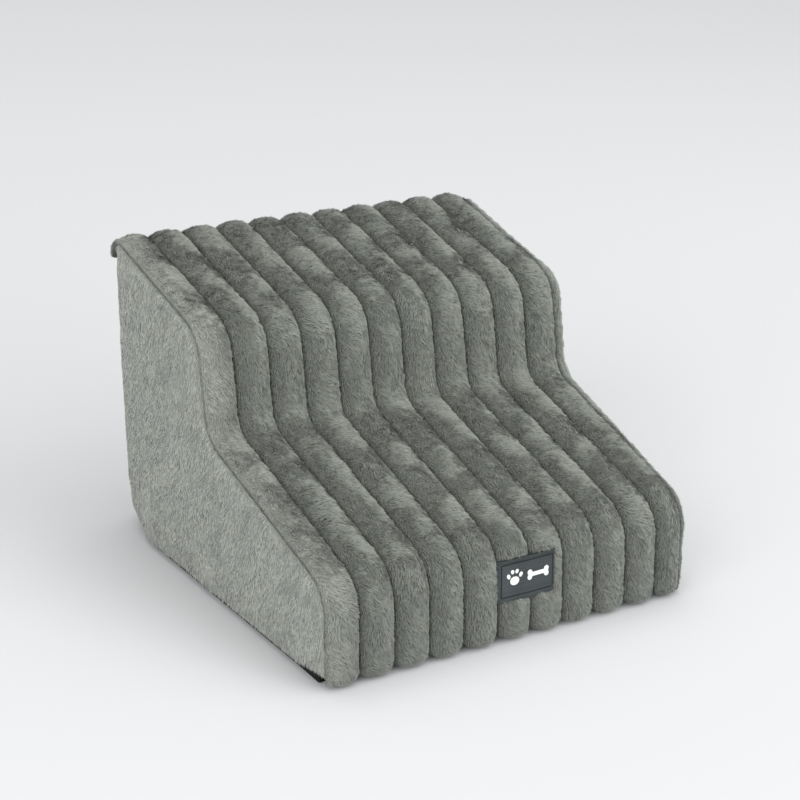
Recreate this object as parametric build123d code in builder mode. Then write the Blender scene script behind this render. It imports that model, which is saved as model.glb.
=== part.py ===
"""Two-step foam ramp for a small dog, in a quilted plush cover with a zipped back.

Millimetres. +X is the right side seen from the front, -Y the front, +Z up. The origin is on
the floor, under the middle of the ramp.
"""

import os
from math import cos, radians, sin, tan

from build123d import *

# Overall size
overall_width = 397.0
overall_depth = 400.0

# Stepped outline at the stitched grooves of the cover, from the front foot to the back
front_lean = radians(5)
lower_nose_height = 84.0
lower_tread_slope = radians(17)
lower_tread_run = 196.5
riser_lean = radians(13)
riser_height = 89.0
upper_tread_slope = radians(14.9)
back_lean = radians(2)
back_seam_height = 262.0
lower_nose_radius = 33.0
valley_radius = 33.0
upper_nose_radius = 36.0
top_edge_radius = 16.0
back_corner_radius = 22.0

# Quilted top: channels run from the front foot over both steps to the top edge
channel_pitch = 35.0
full_channels = 10
first_channel_width = 29.0
edge_strip_width = 8.0
channel_crown = 10.0
edge_strip_crown = 3.5
groove_thickness = 1.5
plush_thickness = 2.5
backing_thickness = 0.8
thread_width = 0.8
thread_depth = 0.8

# Walls, liner and foam
wall_thickness = 5.0
rim_height = 4.0
liner_thickness = 0.6
comfort_thickness = 10.0

# Base
binding_thickness = 2.6
binding_width = 14.0
binding_setback = 1.0
base_panel_thickness = 2.0
grip_dot_radius = 2.5
grip_dot_pitch = 20.0
grip_dot_rows = 16

# Zip across the back
zip_height = 52.0
zip_opening = 12.0
zip_half_length = 165.0
tape_gap = 1.2
tape_thickness = 0.6
tape_depth = 3.5
coil_width = 2.0
coil_thickness = 1.8
stop_length = 3.0
slider_start = -155.0
slider_length = 10.0
slider_width = 9.0
slider_plate = 1.2
slider_under_plate = 0.8
slider_clearance = 0.3
slider_corner = 2.2
under_plate_length = 9.0
under_plate_width = 8.0
lip_length = 5.0
lip_thickness = 1.0
lip_height = 1.7
bridge_length = 2.5
bridge_thickness = 0.6
bail_bar_radius = 0.7
bail_rise = 2.6
bail_span = 7.4
bail_post = 0.8
pull_eye_radius = 2.0
pull_eye_hole = 1.1
pull_eye_width = 4.6
pull_length = 24.0
pull_width = 7.0
pull_thickness = 1.4
pull_hole_radius = 1.75

# Rubber label over two channels of the front
label_width = 64.0
label_height = 40.0
label_middle_height = 57.5
label_sideways = -5.5
label_thickness = 1.8
label_corner = 2.5
label_border = 4.0
label_groove_width = 1.2
label_groove_depth = 0.5
frame_outer_corner = 1.6
frame_inner_corner = 1.0
emblem_relief = 0.4

# Paw and bone on the label
paw_sideways = -13.0
bone_sideways = 10.5
pad_width = 9.0
pad_height = 7.5
pad_drop = 2.0
toe_width = 3.4
toe_height = 4.6
toe_places = [(-6.0, 2.5, 25), (-2.2, 6.2, 8), (2.2, 6.2, -8), (6.0, 2.5, -25)]
bone_length = 17.0
bone_width = 3.6
knob_radius = 2.5
knob_pitch = 4.0

half_width = overall_width / 2
far = overall_width + overall_depth

# Layers under the stitched grooves, measured outwards from them
backing_level = -groove_thickness
liner_level = backing_level - backing_thickness
comfort_level = liner_level - liner_thickness
core_level = comfort_level - comfort_thickness
foam_wall = wall_thickness + liner_thickness
foam_base = binding_thickness + liner_thickness


def meeting(line_a, line_b):
    """Where two lines meet, each given as a point and a direction."""
    point_a, along_a = line_a
    point_b, along_b = line_b
    travel = (point_b - point_a).cross(along_b).Z / along_a.cross(along_b).Z
    return point_a + along_a * travel


def moved_out(line, distance):
    """The line moved to its left, which is outwards all round the side view."""
    point, along = line
    return point + Vector(-along.Y, along.X) * distance, along


# Side view, as (Y, Z): each face of the ramp is a point on it and the direction round it
front_foot = Vector(
    -overall_depth / 2 + channel_crown - (binding_thickness + channel_crown) * tan(front_lean), 0
)
lower_nose = front_foot + Vector(tan(front_lean), 1) * lower_nose_height
valley = lower_nose + Vector(1, tan(lower_tread_slope)) * lower_tread_run
upper_nose = valley + Vector(tan(riser_lean), 1) * riser_height
back_seam = Vector(overall_depth / 2, back_seam_height)
top_faces = [
    (front_foot, Vector(sin(front_lean), cos(front_lean))),
    (lower_nose, Vector(cos(lower_tread_slope), sin(lower_tread_slope))),
    (valley, Vector(sin(riser_lean), cos(riser_lean))),
    (upper_nose, Vector(cos(upper_tread_slope), sin(upper_tread_slope))),
]
back_face = (back_seam, Vector(-sin(back_lean), -cos(back_lean)))
base_face = (Vector(0, 0), Vector(-1, 0))


def back_y(height, inset=0.0):
    """Y of the back plane at a height, moved in by an inset."""
    return overall_depth / 2 - (back_seam_height - height) * tan(back_lean) - inset / cos(back_lean)


def plan_prism(wall_in):
    """The plan of the ramp with rounded back corners, leaning with the back, open to the front."""
    half = half_width - wall_in
    back = back_y(0, wall_in)
    with BuildPart() as prism:
        with BuildSketch(Plane.XY):
            with BuildLine():
                FilletPolyline(
                    (-half, -far),
                    (-half, back),
                    (half, back),
                    (half, -far),
                    radius=[0, back_corner_radius - wall_in, back_corner_radius - wall_in, 0],
                    close=True,
                )
            make_face()
        extrude(amount=overall_depth, dir=(0, sin(back_lean), cos(back_lean)))
    return prism.part


def stepped_block(cover_out, wall_in, base_in, foot_radius=0.0):
    """A solid with the ramp's shape, its stepped face moved out and its walls and base moved in."""
    faces = [moved_out(face, cover_out) for face in top_faces]
    faces.append(moved_out(back_face, -wall_in))
    faces.append(moved_out(base_face, -base_in))
    corners = [meeting(faces[index - 1], faces[index]) for index in range(len(faces))]
    with BuildPart() as block:
        with BuildSketch(Plane.YZ.offset(-half_width + wall_in)):
            with BuildLine():
                FilletPolyline(
                    *corners,
                    radius=[
                        foot_radius,
                        lower_nose_radius + cover_out,
                        valley_radius - cover_out,
                        upper_nose_radius + cover_out,
                        top_edge_radius + cover_out,
                        0,
                    ],
                    close=True,
                )
            make_face()
        extrude(amount=2 * (half_width - wall_in))
        add(plan_prism(wall_in), mode=Mode.INTERSECT)
    return block.part


os.makedirs("parts", exist_ok=True)


def write(piece, name):
    """Label a finished piece and write it."""
    piece.part.label = name
    export_step(piece.part, f"parts/{name}.step")


# ---------------------------------------------------------------- foam and liner

foam_split_height = valley.Y + core_level

foam_envelope = stepped_block(comfort_level, foam_wall, foam_base)

with BuildPart() as core:
    add(stepped_block(core_level, 0, 0))
    add(foam_envelope, mode=Mode.INTERSECT)

with BuildPart() as foam_core_lower:
    add(core.part)
    split(bisect_by=Plane.XY.offset(foam_split_height), keep=Keep.BOTTOM)
write(foam_core_lower, "foam_core_lower")

with BuildPart() as foam_core_upper:
    add(core.part)
    split(bisect_by=Plane.XY.offset(foam_split_height), keep=Keep.TOP)
write(foam_core_upper, "foam_core_upper")

with BuildPart() as comfort_foam_layer:
    add(foam_envelope)
    add(core.part, mode=Mode.SUBTRACT)
write(comfort_foam_layer, "comfort_foam_layer")

with BuildPart() as liner:
    add(stepped_block(liner_level, wall_thickness, binding_thickness))
    add(foam_envelope, mode=Mode.SUBTRACT)

left_liner_plane = Plane.YZ.offset(-half_width + foam_wall)
right_liner_plane = Plane.YZ.offset(half_width - foam_wall)

with BuildPart() as inner_liner_left:
    add(liner.part)
    split(bisect_by=left_liner_plane, keep=Keep.BOTTOM)
write(inner_liner_left, "inner_liner_left")

with BuildPart() as inner_liner_right:
    add(liner.part)
    split(bisect_by=right_liner_plane, keep=Keep.TOP)
write(inner_liner_right, "inner_liner_right")

with BuildPart() as inner_liner_wrap:
    add(liner.part)
    split(bisect_by=left_liner_plane, keep=Keep.TOP)
    split(bisect_by=right_liner_plane, keep=Keep.BOTTOM)
write(inner_liner_wrap, "inner_liner_wrap")

# ---------------------------------------------------------------- quilted top

with BuildPart() as quilt_backing:
    add(stepped_block(backing_level, wall_thickness, binding_thickness))
    add(stepped_block(liner_level, wall_thickness, binding_thickness), mode=Mode.SUBTRACT)
write(quilt_backing, "quilt_backing")

# The channels follow the stepped outline, starting under the foot and ending past the back
channel_start = front_foot - top_faces[0][1] * channel_crown
channel_end = meeting(top_faces[3], back_face) + top_faces[3][1] * channel_crown * 2
with BuildLine(Plane.YZ) as channel_run:
    FilletPolyline(
        *[tuple(point) for point in (channel_start, lower_nose, valley, upper_nose, channel_end)],
        radius=[lower_nose_radius, valley_radius, upper_nose_radius],
    )
channel_path = channel_run.wire()
across = Plane(origin=channel_path @ 0, x_dir=(-1, 0, 0), z_dir=channel_path % 0)

channel_widths = [first_channel_width] + [channel_pitch] * full_channels + [edge_strip_width]
groove_places = [-half_width + wall_thickness]
for width in channel_widths:
    groove_places.append(groove_places[-1] + width)


def channel_section(number):
    """Middle, half-width, crown height and arc radius of one channel's section."""
    width = channel_widths[number]
    middle = groove_places[number] + width / 2
    crown = edge_strip_crown if number == len(channel_widths) - 1 else channel_crown
    return middle, width / 2, crown, (width**2 / 4 + crown**2) / (2 * crown)


filling_envelope = stepped_block(
    channel_crown - plush_thickness,
    wall_thickness + plush_thickness,
    binding_thickness + plush_thickness,
    channel_crown - plush_thickness,
)
fillings = []
for number in range(len(channel_widths)):
    middle, _, crown, radius = channel_section(number)
    inner_radius = radius - plush_thickness
    drop = radius - crown - groove_thickness
    inner_half = (inner_radius**2 - drop**2) ** 0.5
    with BuildPart() as channel_filling:
        with BuildSketch(across):
            with BuildLine():
                ThreePointArc(
                    (-middle - inner_half, backing_level),
                    (-middle, crown - plush_thickness),
                    (-middle + inner_half, backing_level),
                )
                Line((-middle + inner_half, backing_level), (-middle - inner_half, backing_level))
            make_face()
        sweep(path=channel_path)
        add(filling_envelope, mode=Mode.INTERSECT)
    write(channel_filling, f"channel_filling_{number + 1:02d}")
    fillings.append(channel_filling.part)

with BuildPart() as plush_top_panel:
    with BuildSketch(across):
        for number in range(len(channel_widths)):
            middle, half, crown, radius = channel_section(number)
            with BuildLine():
                ThreePointArc((-middle - half, 0), (-middle, crown), (-middle + half, 0))
                Polyline(
                    (-middle + half, 0),
                    (-middle + half, backing_level),
                    (-middle - half, backing_level),
                    (-middle - half, 0),
                )
            make_face()
        with Locations([(-place, 0) for place in groove_places[1:-1]]):
            Rectangle(thread_width, 2 * thread_depth, mode=Mode.SUBTRACT)
    sweep(path=channel_path)
    add(
        stepped_block(channel_crown, wall_thickness, binding_thickness, channel_crown),
        mode=Mode.INTERSECT,
    )
    add(fillings, mode=Mode.SUBTRACT)
write(plush_top_panel, "plush_top_panel")

with BuildPart() as channel_stitching:
    with BuildSketch(across):
        with Locations([(-place, -thread_depth / 2) for place in groove_places[1:-1]]):
            Rectangle(thread_width, thread_depth)
    sweep(path=channel_path)
    add(filling_envelope, mode=Mode.INTERSECT)
write(channel_stitching, "channel_stitching")

# ---------------------------------------------------------------- walls of the cover

with BuildPart() as walls:
    add(stepped_block(rim_height, 0, binding_thickness))
    add(plan_prism(wall_thickness), mode=Mode.SUBTRACT)

left_seam = Plane.YZ.offset(-half_width + back_corner_radius)
right_seam = Plane.YZ.offset(half_width - back_corner_radius)

with BuildPart() as left_side_panel:
    add(walls.part)
    split(bisect_by=left_seam, keep=Keep.BOTTOM)
write(left_side_panel, "left_side_panel")

with BuildPart() as right_side_panel:
    add(walls.part)
    split(bisect_by=right_seam, keep=Keep.TOP)
write(right_side_panel, "right_side_panel")

# On the zip plane, x runs to the left, y up the back and z out of it
zip_plane = Plane(
    origin=(0, back_y(zip_height), zip_height),
    x_dir=(-1, 0, 0),
    z_dir=(0, cos(back_lean), -sin(back_lean)),
)

zip_level = Plane(zip_plane.origin, x_dir=(-1, 0, 0), z_dir=zip_plane.y_dir)

with BuildPart() as back_panel_upper:
    add(walls.part)
    split(bisect_by=left_seam, keep=Keep.TOP)
    split(bisect_by=right_seam, keep=Keep.BOTTOM)
    split(bisect_by=zip_level.offset(zip_opening / 2), keep=Keep.TOP)
write(back_panel_upper, "back_panel_upper")

with BuildPart() as back_panel_lower:
    add(walls.part)
    split(bisect_by=left_seam, keep=Keep.TOP)
    split(bisect_by=right_seam, keep=Keep.BOTTOM)
    split(bisect_by=zip_level.offset(-zip_opening / 2), keep=Keep.BOTTOM)
write(back_panel_lower, "back_panel_lower")

# ---------------------------------------------------------------- base

base_half = half_width - binding_setback
base_back = back_y(0, binding_setback)
base_middle = (base_back + front_foot.X) / 2


def base_outline(inset):
    """The outline of the base moved in by an inset, with its back corners rounded."""
    with BuildSketch() as outline:
        with BuildLine():
            FilletPolyline(
                (-base_half + inset, front_foot.X + inset),
                (-base_half + inset, base_back - inset),
                (base_half - inset, base_back - inset),
                (base_half - inset, front_foot.X + inset),
                radius=[0, back_corner_radius - inset, back_corner_radius - inset, 0],
                close=True,
            )
        make_face()
    return outline.sketch


with BuildPart() as base_binding:
    with BuildSketch(Plane.XY):
        add(base_outline(0))
        add(base_outline(binding_width), mode=Mode.SUBTRACT)
    extrude(amount=binding_thickness)
write(base_binding, "base_binding")

dot_height = binding_thickness - base_panel_thickness

with BuildPart() as base_panel:
    with BuildSketch(Plane.XY.offset(dot_height)):
        add(base_outline(binding_width))
    extrude(amount=base_panel_thickness)
write(base_panel, "base_panel")

with BuildPart() as base_grip_dots:
    with BuildSketch(Plane.XY):
        with Locations((0, base_middle)):
            with GridLocations(grip_dot_pitch, grip_dot_pitch, grip_dot_rows, grip_dot_rows):
                Circle(grip_dot_radius)
    extrude(amount=dot_height)
write(base_grip_dots, "base_grip_dots")

# ---------------------------------------------------------------- zip

tape_top = -tape_depth + tape_thickness
coil_top = tape_top + coil_thickness
tape_length = 2 * (half_width - back_corner_radius)
for name, side in (("upper", 1), ("lower", -1)):
    with BuildPart() as zip_tape:
        with BuildSketch(zip_plane.offset(-tape_depth)):
            with Locations((0, side * (zip_opening + tape_gap) / 4)):
                Rectangle(tape_length, (zip_opening - tape_gap) / 2)
        extrude(amount=tape_thickness)
    write(zip_tape, f"zip_tape_{name}")

    with BuildPart() as zip_coil:
        with BuildSketch(zip_plane.offset(tape_top)):
            with Locations((0, side * (tape_gap + coil_width) / 2)):
                Rectangle(2 * zip_half_length, coil_width)
        extrude(amount=coil_thickness)
    write(zip_coil, f"zip_coil_{name}")

with BuildPart() as zip_end_stops:
    with BuildSketch(zip_plane.offset(tape_top)):
        with GridLocations(2 * zip_half_length + stop_length, 0, 2, 1):
            Rectangle(stop_length, tape_gap + 2 * coil_width)
    extrude(amount=coil_thickness)
write(zip_end_stops, "zip_end_stops")

slider_bottom = coil_top + slider_clearance
slider_top = slider_bottom + slider_plate
under_plate_top = -tape_depth - slider_clearance
bar_height = slider_top + bail_rise
slider_place = -slider_start
bar_centre = zip_plane.from_local_coords((slider_place, 0, bar_height))

with BuildPart() as zip_slider:
    with BuildSketch(zip_plane.offset(slider_bottom)):
        with Locations((slider_place, 0)):
            RectangleRounded(slider_length, slider_width, slider_corner)
    extrude(amount=slider_plate)
    with BuildSketch(zip_plane.offset(slider_bottom)):
        with Locations((slider_place, 0)):
            with GridLocations(0, slider_width - lip_thickness, 1, 2):
                Rectangle(lip_length, lip_thickness)
    extrude(amount=-lip_height)
    with BuildSketch(zip_plane.offset(slider_bottom)):
        with Locations((slider_place, 0)):
            Rectangle(bridge_length, bridge_thickness)
    extrude(amount=under_plate_top - slider_bottom)
    with BuildSketch(zip_plane.offset(under_plate_top)):
        with Locations((slider_place, 0)):
            RectangleRounded(under_plate_length, under_plate_width, slider_corner)
    extrude(amount=-slider_under_plate)
    with BuildSketch(zip_plane.offset(slider_top)):
        with Locations((slider_place, 0)):
            with GridLocations(bail_span - bail_post, 0, 2, 1):
                Rectangle(bail_post, 2 * bail_bar_radius)
    extrude(amount=bail_rise)
    with BuildSketch(Plane(bar_centre, z_dir=(1, 0, 0))):
        Circle(bail_bar_radius)
    extrude(amount=bail_span / 2, both=True)
write(zip_slider, "zip_slider")

# The pull hangs straight down from the bail
pull_side = Plane(bar_centre, x_dir=(0, 1, 0), z_dir=(1, 0, 0))
pull_face = Plane(bar_centre, x_dir=(1, 0, 0), z_dir=(0, -1, 0))
tab_top = pull_eye_radius * 2

with BuildPart() as zip_pull:
    with BuildSketch(pull_side):
        Circle(pull_eye_radius)
        with Locations((0, -tab_top / 2)):
            Rectangle(pull_thickness, tab_top)
        Circle(pull_eye_hole, mode=Mode.SUBTRACT)
    extrude(amount=pull_eye_width / 2, both=True)
    with BuildSketch(pull_face):
        with Locations((0, -tab_top - pull_length / 2)):
            SlotOverall(pull_length, pull_width, rotation=90)
        with Locations((0, -tab_top - pull_length + pull_width / 2)):
            Circle(pull_hole_radius, mode=Mode.SUBTRACT)
        with Locations((0, -tab_top)):
            Rectangle(pull_eye_width, pull_width)
        with Locations((0, -tab_top / 2 + pull_width / 4)):
            Rectangle(pull_width, tab_top + pull_width / 2, mode=Mode.SUBTRACT)
    extrude(amount=pull_thickness / 2, both=True)
write(zip_pull, "zip_pull")

# ---------------------------------------------------------------- label

label_middle = groove_places[6] + label_sideways
frame_width = label_width - 2 * label_border
frame_height = label_height - 2 * label_border
label_face = Plane.XZ.offset(overall_depth / 2 + channel_crown)
label_reach = -4 * channel_crown


def label_layer(bottom, top):
    """A thin layer that follows the crowns of the front, between two levels above them."""
    with BuildPart() as layer:
        add(stepped_block(channel_crown + top, 0, 0))
        add(stepped_block(channel_crown + bottom, 0, 0), mode=Mode.SUBTRACT)
    return layer.part


with BuildPart() as label_patch:
    with BuildSketch(label_face):
        with Locations((label_middle, label_middle_height)):
            RectangleRounded(label_width, label_height, label_corner)
    extrude(amount=label_reach)
    add(label_layer(0, label_thickness), mode=Mode.INTERSECT)
    with BuildPart(mode=Mode.PRIVATE) as border_groove:
        with BuildSketch(label_face):
            with Locations((label_middle, label_middle_height)):
                RectangleRounded(frame_width, frame_height, frame_outer_corner)
                RectangleRounded(
                    frame_width - 2 * label_groove_width,
                    frame_height - 2 * label_groove_width,
                    frame_inner_corner,
                    mode=Mode.SUBTRACT,
                )
        extrude(amount=label_reach)
        add(label_layer(label_thickness - label_groove_depth, label_thickness), mode=Mode.INTERSECT)
    add(border_groove.part, mode=Mode.SUBTRACT)
write(label_patch, "label_patch")

# A paw beside a bone, raised on the label
paw_place = (label_middle + paw_sideways, label_middle_height)
bone_place = (label_middle + bone_sideways, label_middle_height)

with BuildPart() as label_emblem:
    with BuildSketch(label_face):
        with Locations(paw_place):
            with Locations((0, -pad_drop)):
                Ellipse(pad_width / 2, pad_height / 2)
            with Locations([Location((x, y), tilt) for x, y, tilt in toe_places]):
                Ellipse(toe_width / 2, toe_height / 2)
        with Locations(bone_place):
            Rectangle(bone_length, bone_width)
            with GridLocations(bone_length, knob_pitch, 2, 2):
                Circle(knob_radius)
    extrude(amount=label_reach)
    add(label_layer(label_thickness, label_thickness + emblem_relief), mode=Mode.INTERSECT)
write(label_emblem, "label_emblem")
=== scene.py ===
"""Two-step foam ramp for a small dog in its plush cover: the finished look, in metres.

+X is the right side seen from the front, -Y the front, +Z up, as in the CAD model.
"""

import math

import bpy
import numpy as np
from mathutils import Matrix, Vector, noise


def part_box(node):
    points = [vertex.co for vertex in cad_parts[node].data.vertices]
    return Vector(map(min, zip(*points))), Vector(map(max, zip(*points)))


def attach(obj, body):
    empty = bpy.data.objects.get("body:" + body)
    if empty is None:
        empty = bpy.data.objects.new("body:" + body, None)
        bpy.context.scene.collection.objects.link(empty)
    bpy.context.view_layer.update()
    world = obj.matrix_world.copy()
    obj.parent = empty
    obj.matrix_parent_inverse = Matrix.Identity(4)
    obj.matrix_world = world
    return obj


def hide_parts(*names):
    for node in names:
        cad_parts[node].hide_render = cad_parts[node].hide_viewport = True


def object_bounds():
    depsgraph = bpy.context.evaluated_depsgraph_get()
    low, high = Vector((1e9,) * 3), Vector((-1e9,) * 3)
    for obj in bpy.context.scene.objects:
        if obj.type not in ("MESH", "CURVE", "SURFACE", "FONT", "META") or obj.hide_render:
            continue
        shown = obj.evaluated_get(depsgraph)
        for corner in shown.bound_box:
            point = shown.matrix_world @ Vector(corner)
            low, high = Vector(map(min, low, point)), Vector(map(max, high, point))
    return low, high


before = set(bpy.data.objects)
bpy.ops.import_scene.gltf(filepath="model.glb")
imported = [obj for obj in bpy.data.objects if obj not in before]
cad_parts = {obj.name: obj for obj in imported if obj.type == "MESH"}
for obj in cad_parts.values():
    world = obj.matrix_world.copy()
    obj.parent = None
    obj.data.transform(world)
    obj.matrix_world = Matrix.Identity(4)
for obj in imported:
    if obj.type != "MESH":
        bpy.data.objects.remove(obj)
cad_low, cad_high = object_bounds()
mm = 0.001

# ------------------------------------------------------------------ camera

camera_place = Vector((-0.9635, -1.393, 0.802))
camera_yaw = math.radians(34.58)
camera_pitch = math.radians(20.98)
camera_roll = math.radians(2.85)
camera_lens = 89.5


def place_camera():
    """A long lens, low and to the left of the front, tipped a little to one side."""
    forward = Vector(
        (
            math.sin(camera_yaw) * math.cos(camera_pitch),
            math.cos(camera_yaw) * math.cos(camera_pitch),
            -math.sin(camera_pitch),
        )
    )
    level = Vector((math.cos(camera_yaw), -math.sin(camera_yaw), 0))
    upright = level.cross(forward)
    right = level * math.cos(camera_roll) + upright * math.sin(camera_roll)
    up = upright * math.cos(camera_roll) - level * math.sin(camera_roll)
    camera = bpy.data.objects.new("camera", bpy.data.cameras.new("camera"))
    camera.data.lens = camera_lens
    camera.data.sensor_width = 36
    camera.data.clip_end = 50
    columns = Matrix((right, up, -forward)).transposed().to_4x4()
    camera.matrix_world = Matrix.Translation(camera_place) @ columns
    bpy.context.scene.collection.objects.link(camera)
    bpy.context.scene.camera = camera


place_camera()

# ------------------------------------------------------------------ colours and nodes


def colour(hex_value):
    """An sRGB hex colour as linear RGBA."""
    channels = [int(hex_value[place : place + 2], 16) / 255 for place in (1, 3, 5)]
    linear = [c / 12.92 if c <= 0.04045 else ((c + 0.055) / 1.055) ** 2.4 for c in channels]
    return (*linear, 1.0)


def add_node(tree, kind, settings=None, links=None):
    """Adds a node, sets its properties or input values, and links its inputs."""
    node = tree.nodes.new(kind)
    for name, value in (settings or {}).items():
        if isinstance(name, str) and hasattr(node, name):
            setattr(node, name, value)
        else:
            node.inputs[name].default_value = value
    for name, source in (links or {}).items():
        tree.links.new(source, node.inputs[name])
    return node


def new_material(name, shader_values):
    """A material with a Principled shader and its output; returns it, its tree and the shader."""
    material = bpy.data.materials.new(name)
    material.use_nodes = True
    tree = material.node_tree
    tree.nodes.clear()
    shader = add_node(tree, "ShaderNodeBsdfPrincipled", shader_values)
    add_node(tree, "ShaderNodeOutputMaterial", links={"Surface": shader.outputs[0]})
    return material, tree, shader


def ramp(tree, factor, stops):
    """A colour ramp over a factor, from (place, colour) stops."""
    node = add_node(tree, "ShaderNodeValToRGB", links={"Fac": factor})
    elements = node.color_ramp.elements
    for element, (place, value) in zip(elements, stops):
        element.position = place
        element.color = value
    for place, value in stops[2:]:
        elements.new(place).color = value
    return node.outputs["Color"]


def object_point(tree, scale=(1, 1, 1)):
    """Object coordinates, stretched."""
    place = add_node(tree, "ShaderNodeTexCoord").outputs["Object"]
    return add_node(
        tree, "ShaderNodeMapping", {"Scale": scale}, {"Vector": place}
    ).outputs["Vector"]


def mixed(tree, factor, first, second, blend="MIX"):
    """Two colours mixed by a factor; each may be a value or a socket."""
    node = add_node(tree, "ShaderNodeMix", {"data_type": "RGBA", "blend_type": blend})
    for place, source in ((0, factor), (6, first), (7, second)):
        if hasattr(source, "is_linked"):
            tree.links.new(source, node.inputs[place])
        else:
            node.inputs[place].default_value = source
    return node.outputs[2]


def bumped(tree, shader, height, strength, distance):
    """Feeds a height into the shader's normal."""
    bump = add_node(
        tree, "ShaderNodeBump", {"Strength": strength, "Distance": distance}, {"Height": height}
    )
    tree.links.new(bump.outputs["Normal"], shader.inputs["Normal"])


cloth_share_of_shading = 2.2


def faux_rabbit_plush(name, deep, root, low, tip, lit_edge_low, lit_edge_tip, clump, contrast):
    """Short polyester faux-fur pile, sheared and brushed down: dull and soft, dark between the
    tufts and paler at their tips. The tufts shade mostly as the cloth under them does."""
    material, tree, shader = new_material(
        name, {"Roughness": 0.9, "Sheen Weight": 0.35, "Sheen Roughness": 0.5, "IOR": 1.45}
    )
    shader.inputs["Sheen Tint"].default_value = colour("#dfe0da")
    shader.inputs["Specular IOR Level"].default_value = 0.1
    along = add_node(tree, "ShaderNodeAttribute", {"attribute_name": "along"}).outputs["Fac"]
    shade = add_node(tree, "ShaderNodeAttribute", {"attribute_name": "tuft_shade"}).outputs["Fac"]
    pale = add_node(tree, "ShaderNodeAttribute", {"attribute_name": "pale"}).outputs["Fac"]
    clumps = add_node(
        tree,
        "ShaderNodeTexNoise",
        {"Scale": 1 / clump, "Detail": 3.0, "Roughness": 0.6},
        {"Vector": object_point(tree)},
    ).outputs["Fac"]
    # Painted shade: where the cloth is marked for it, the pile's colour is drawn towards the deep
    # colour.
    painted_shade = add_node(tree, "ShaderNodeAttribute", {"attribute_name": "painted_shade"}).outputs["Fac"]
    # Painted light: where marked, both base and tips are drawn towards paler colours.
    tips = mixed(tree, pale, colour(tip), colour(lit_edge_tip))
    base = mixed(tree, pale, mixed(tree, shade, colour(root), colour(low)), colour(lit_edge_low))
    pile = mixed(tree, painted_shade, mixed(tree, along, base, tips), colour(deep))
    varied = mixed(
        tree,
        contrast,
        pile,
        ramp(tree, shade, [(0.0, colour("#5e605c")), (1.0, colour("#b9bbb5"))]),
        "OVERLAY",
    )
    patchy = mixed(
        tree,
        contrast,
        varied,
        ramp(tree, clumps, [(0.3, colour("#737571")), (0.7, colour("#a0a29d"))]),
        "OVERLAY",
    )
    tree.links.new(patchy, shader.inputs["Base Color"])
    lie = add_node(tree, "ShaderNodeAttribute", {"attribute_name": "lie"})
    cloth_side = lie.outputs["Vector"]
    own_side = add_node(tree, "ShaderNodeNewGeometry").outputs["Normal"]
    share = add_node(
        tree,
        "ShaderNodeVectorMath",
        {"operation": "SCALE", "Scale": cloth_share_of_shading},
        {0: cloth_side},
    )
    both = add_node(
        tree, "ShaderNodeVectorMath", {"operation": "ADD"}, {0: share.outputs[0], 1: own_side}
    )
    even = add_node(
        tree, "ShaderNodeVectorMath", {"operation": "NORMALIZE"}, {0: both.outputs[0]}
    )
    tree.links.new(even.outputs[0], shader.inputs["Normal"])
    return material


def woven_cloth(name, dark, light, thread, roughness=0.85, bump=0.25):
    """Plain woven synthetic cloth: threads over and under each other catch small lights."""
    material, tree, shader = new_material(name, {"Roughness": roughness, "IOR": 1.46})
    shader.inputs["Specular IOR Level"].default_value = 0.3
    place = object_point(tree)
    waves = []
    for direction in ("X", "Y", "Z"):
        waves.append(
            add_node(
                tree,
                "ShaderNodeTexWave",
                {"bands_direction": direction, "Scale": 0.31 / thread, "Distortion": 0.4},
                {"Vector": place},
            ).outputs["Fac"]
        )
    pair = add_node(tree, "ShaderNodeMath", {"operation": "MULTIPLY"}, {0: waves[0], 1: waves[1]})
    weave = add_node(
        tree, "ShaderNodeMath", {"operation": "ADD"}, {0: pair.outputs[0], 1: waves[2]}
    )
    uneven = add_node(
        tree, "ShaderNodeTexNoise", {"Scale": 60.0, "Detail": 4.0}, {"Vector": place}
    )
    body = ramp(tree, weave.outputs[0], [(0.2, colour(dark)), (1.2, colour(light))])
    stained = mixed(tree, 0.25, body, uneven.outputs["Color"], "SOFT_LIGHT")
    tree.links.new(stained, shader.inputs["Base Color"])
    bumped(tree, shader, weave.outputs[0], bump, thread * 0.4)
    return material


def fleecy(name, dark, light, grain, roughness=0.95, bump=0.4):
    """Loose fibres or open cells: batting, non-woven and foam, matt with a fine uneven grain."""
    material, tree, shader = new_material(name, {"Roughness": roughness, "IOR": 1.45})
    shader.inputs["Specular IOR Level"].default_value = 0.2
    place = object_point(tree)
    cells = add_node(
        tree, "ShaderNodeTexVoronoi", {"Scale": 1 / grain}, {"Vector": place}
    ).outputs["Distance"]
    cloud = add_node(
        tree, "ShaderNodeTexNoise", {"Scale": 0.12 / grain, "Detail": 5.0}, {"Vector": place}
    ).outputs["Fac"]
    both = add_node(tree, "ShaderNodeMath", {"operation": "ADD"}, {0: cells, 1: cloud}).outputs[0]
    body = ramp(tree, both, [(0.35, colour(dark)), (1.0, colour(light))])
    tree.links.new(body, shader.inputs["Base Color"])
    bumped(tree, shader, both, bump, grain * 0.5)
    return material


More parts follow.
